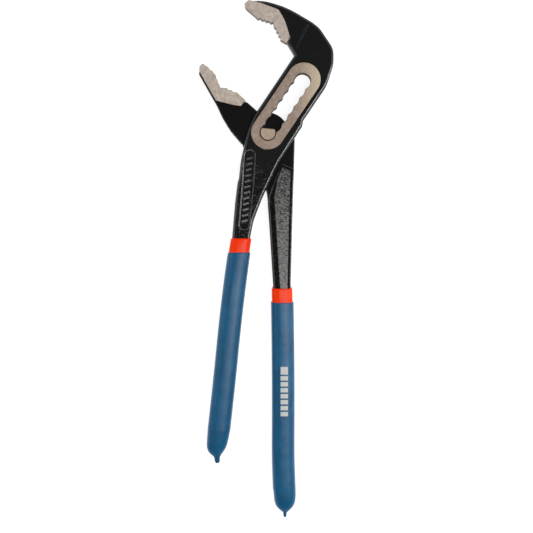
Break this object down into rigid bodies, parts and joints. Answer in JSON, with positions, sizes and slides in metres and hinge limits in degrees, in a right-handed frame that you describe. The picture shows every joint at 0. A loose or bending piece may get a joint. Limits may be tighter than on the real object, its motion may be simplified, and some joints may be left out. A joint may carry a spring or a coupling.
{
  "type": "tongue and groove pliers",
  "caption": "Box-joint tongue and groove pliers: a hooked upper jaw arm with a scalloped slot, a lower jaw arm turning on a D-section pin, and dipped grips.",
  "frame": {"origin": "on the pivot pin's axis with the pin in the lowest scallop, in the plane of the rear ground boss, on which the tool lies", "axes": "+Z out of the front face along the pin, +Y from the handles towards the jaws, +X to the right of the front face"},
  "size_m": [0.0873, 0.3356, 0.0134],
  "materials": {
    "black_forging": "black finish over a forged skin, semi-gloss, with jaw pads and slot bosses ground bare",
    "ground_steel": "bare ground steel, satin, slightly warm",
    "orange_dip": "glossy dipped vinyl, orange-red",
    "blue_dip": "dipped vinyl, steel blue, soft gloss"
  },
  "bodies": {
    "slotted_arm_body": {"slotted_arm": "black_forging", "slotted_arm_undercoat": "orange_dip", "slotted_arm_grip": "blue_dip"},
    "pivot_slider": {"pivot_core": "ground_steel"},
    "inner_arm_body": {"inner_arm": "black_forging", "pivot_pin": "ground_steel", "inner_arm_undercoat": "orange_dip", "inner_arm_grip": "blue_dip"}
  },
  "joints": [
    {"name": "slot_slide", "type": "slide", "parent": "slotted_arm_body", "child": "pivot_slider", "axis": [0.5592, 0.829, 0], "range_m": [0, 0.0402]},
    {"name": "pivot_hinge", "type": "hinge", "parent": "pivot_slider", "child": "inner_arm_body", "pos_m": [0, 0, 0.0067], "axis": [0, 0, 1], "range_deg": [-3, 64]}
  ]
}
